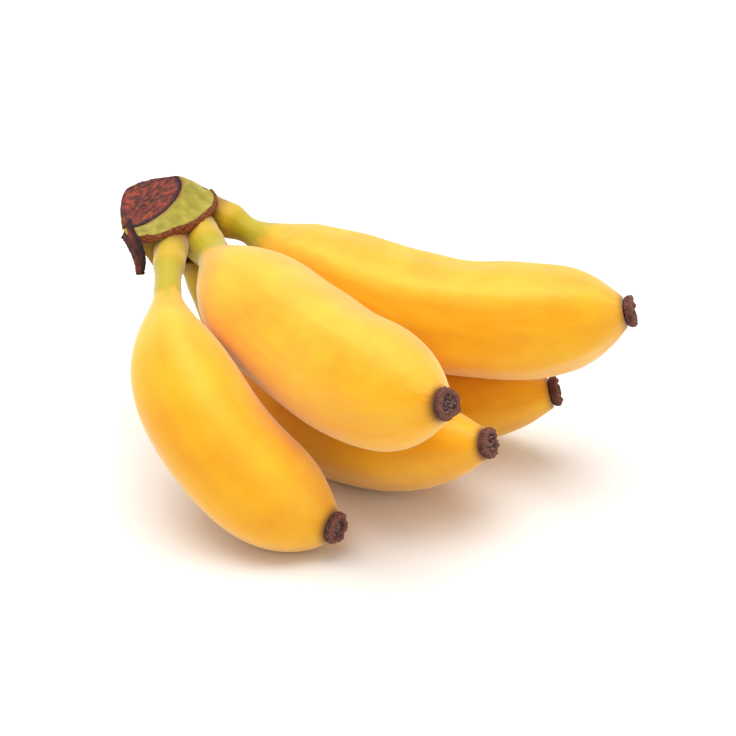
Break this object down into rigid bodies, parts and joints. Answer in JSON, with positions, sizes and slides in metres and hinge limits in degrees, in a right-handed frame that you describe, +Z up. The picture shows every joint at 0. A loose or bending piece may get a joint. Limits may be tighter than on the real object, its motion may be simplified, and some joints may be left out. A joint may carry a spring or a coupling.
{
  "type": "hand of baby bananas",
  "caption": "Hand of ripe baby bananas joined at a cut crown, lying on its lower bananas, with dried blossom ends.",
  "frame": {"origin": "middle of the underside of the hand's box, on the surface it lies on", "axes": "+X along the hand from the crown to the far tips, +Z up, +Y away from the side with the two front bananas"},
  "size_m": [0.1492, 0.1168, 0.0674],
  "materials": {
    "crown_skin": "satin green fruit skin with a dried brown cut",
    "banana_peel": "satin ripe banana peel",
    "dried_blossom": "rough dried flower remains"
  },
  "bodies": {
    "root": {"crown": "crown_skin", "finger_1": "banana_peel", "finger_2": "banana_peel", "finger_3": "banana_peel", "finger_4": "banana_peel", "finger_5": "banana_peel", "blossom_end_1": "dried_blossom", "blossom_end_2": "dried_blossom", "blossom_end_3": "dried_blossom", "blossom_end_4": "dried_blossom", "blossom_end_5": "dried_blossom"}
  },
  "joints": []
}
